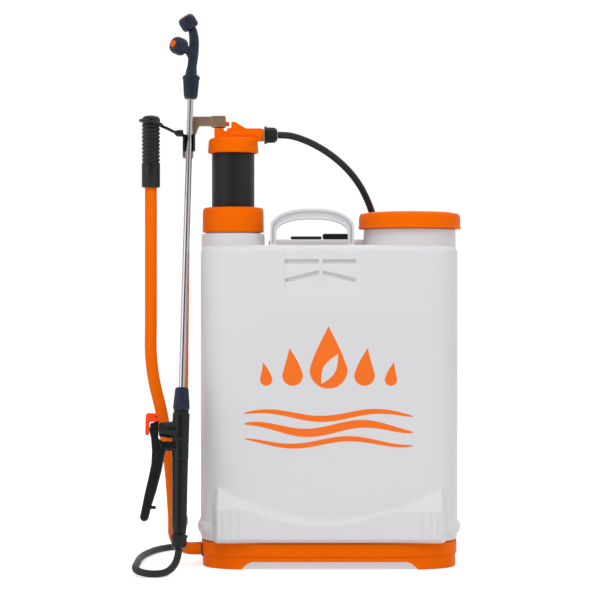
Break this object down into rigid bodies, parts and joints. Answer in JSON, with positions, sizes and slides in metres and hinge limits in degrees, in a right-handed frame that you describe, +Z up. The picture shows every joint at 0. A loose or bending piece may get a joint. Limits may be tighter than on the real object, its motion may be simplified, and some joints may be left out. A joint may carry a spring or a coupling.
{
  "type": "backpack sprayer",
  "caption": "Lever-operated knapsack sprayer: upright tank on a skirt base, screw lid, piston pump worked by a side lever, hose, and a trigger lance with a twin nozzle head.",
  "frame": {"origin": "on the floor, under the middle of the object without its hose", "axes": "+Z up, -Y towards the tank's front, +Y towards the wearer, +X towards the filler lid"},
  "size_m": [0.4115, 0.2859, 0.6845],
  "materials": {
    "white": "satin",
    "orange": "satin",
    "black": "satin",
    "navy": "satin",
    "red": "satin",
    "rubber": "matte",
    "hose_rubber": "satin",
    "chrome": "polished",
    "steel": "brushed",
    "orange_paint": "gloss",
    "cast": "satin",
    "webbing": "woven"
  },
  "bodies": {
    "frame": {"tank": "white", "base": "orange", "shaft_bush_outer": "black", "shaft_bush_inner": "black", "carry_handle": "white", "strainer_basket": "black", "pump_barrel": "black", "suction_valve_ball": "steel", "suction_pipe": "black", "wiper_seal": "rubber", "lance_tube": "chrome", "lance_lower_nut": "navy", "lance_upper_nut": "navy", "nozzle_body": "navy", "grip_body": "black", "trigger_pin": "steel", "valve_spring": "steel", "grip_hose_nut": "black", "shoulder_strap_left": "webbing", "shoulder_strap_right": "webbing", "strap_buckle_left": "black", "strap_buckle_right": "black", "strap_hook_left": "black", "strap_hook_right": "black", "hose": "hose_rubber"},
    "ring_nut": {"pump_ring_nut": "orange"},
    "lid_lift": {"lid_gasket": "rubber"},
    "lid": {"lid": "orange"},
    "pump": {"air_chamber": "black", "cap_seal": "rubber", "pump_cap": "orange", "pump_hose_nut": "black", "piston": "black", "piston_cup": "rubber", "discharge_valve_ball": "steel", "elbow_bracket": "cast", "bracket_screw": "orange", "rod_pin": "steel", "lance_clip": "black"},
    "rod": {"connecting_rod": "orange_paint"},
    "lever": {"lever_tube": "orange_paint", "lever_grip": "black", "crank_arm": "steel", "crank_pin": "steel", "shaft_ring": "steel", "retaining_strap": "rubber"},
    "trigger": {"trigger": "black"},
    "lock": {"trigger_lock": "red", "lock_pin": "steel"},
    "stem": {"valve_stem": "steel"},
    "upper_cap": {"nozzle_cap_upper": "navy", "nozzle_tip_upper": "orange"},
    "lower_cap": {"nozzle_cap_lower": "navy", "nozzle_tip_lower": "orange"}
  },
  "joints": [
    {"name": "lever_swing", "type": "hinge", "parent": "frame", "child": "lever", "pos_m": [-0.1335, -0.034, 0.0205], "axis": [-1, 0, 0], "range_deg": [0, 66]},
    {"name": "pump_stroke", "type": "slide", "parent": "frame", "child": "pump", "axis": [0, 0, -1], "range_m": [0, 0.0412], "deforming": ["hose"]},
    {"name": "rod_swing", "type": "hinge", "parent": "pump", "child": "rod", "pos_m": [-0.1405, 0, 0.512], "axis": [1, 0, 0], "range_deg": [0, 1.8]},
    {"name": "ring_nut_turn", "type": "hinge", "parent": "frame", "child": "ring_nut", "pos_m": [-0.0839, 0, 0.427], "axis": [0, 0, 1], "continuous": true},
    {"name": "lid_lift_off", "type": "slide", "parent": "frame", "child": "lid_lift", "axis": [0, 0, 1], "range_m": [0, 0.08]},
    {"name": "lid_turn", "type": "hinge", "parent": "lid_lift", "child": "lid", "pos_m": [0.1365, 0, 0.426], "axis": [0, 0, 1], "continuous": true},
    {"name": "trigger_squeeze", "type": "hinge", "parent": "frame", "child": "trigger", "pos_m": [-0.164, -0.09228, 0.15189], "axis": [0.0019, -0.9809, 0.1945], "range_deg": [0, 14], "stiffness_Nm_per_rad": 1, "springref_deg": -17.19},
    {"name": "valve_travel", "type": "slide", "parent": "frame", "child": "stem", "axis": [-0.9998, 0.0019, 0.0189], "range_m": [0, 0.0055], "deforming": ["valve_spring"]},
    {"name": "lock_flip", "type": "hinge", "parent": "trigger", "child": "lock", "pos_m": [-0.17337, -0.08585, 0.18444], "axis": [-0.0019, 0.9809, -0.1945], "range_deg": [0, 40]},
    {"name": "upper_cap_turn", "type": "hinge", "parent": "frame", "child": "upper_cap", "pos_m": [-0.14015, 0.01026, 0.67406], "axis": [-0.5236, -0.1978, 0.8286], "continuous": true},
    {"name": "lower_cap_turn", "type": "hinge", "parent": "frame", "child": "lower_cap", "pos_m": [-0.15266, -0.00995, 0.64374], "axis": [-0.7754, -0.5683, 0.2753], "continuous": true}
  ],
  "couplings": [
    {"joint": "pump_stroke", "follows": "lever_swing", "m_per_rad": 0.035764},
    {"joint": "rod_swing", "follows": "lever_swing", "ratio": 0.02683},
    {"joint": "valve_travel", "follows": "trigger_squeeze", "m_per_rad": 0.0225}
  ]
}
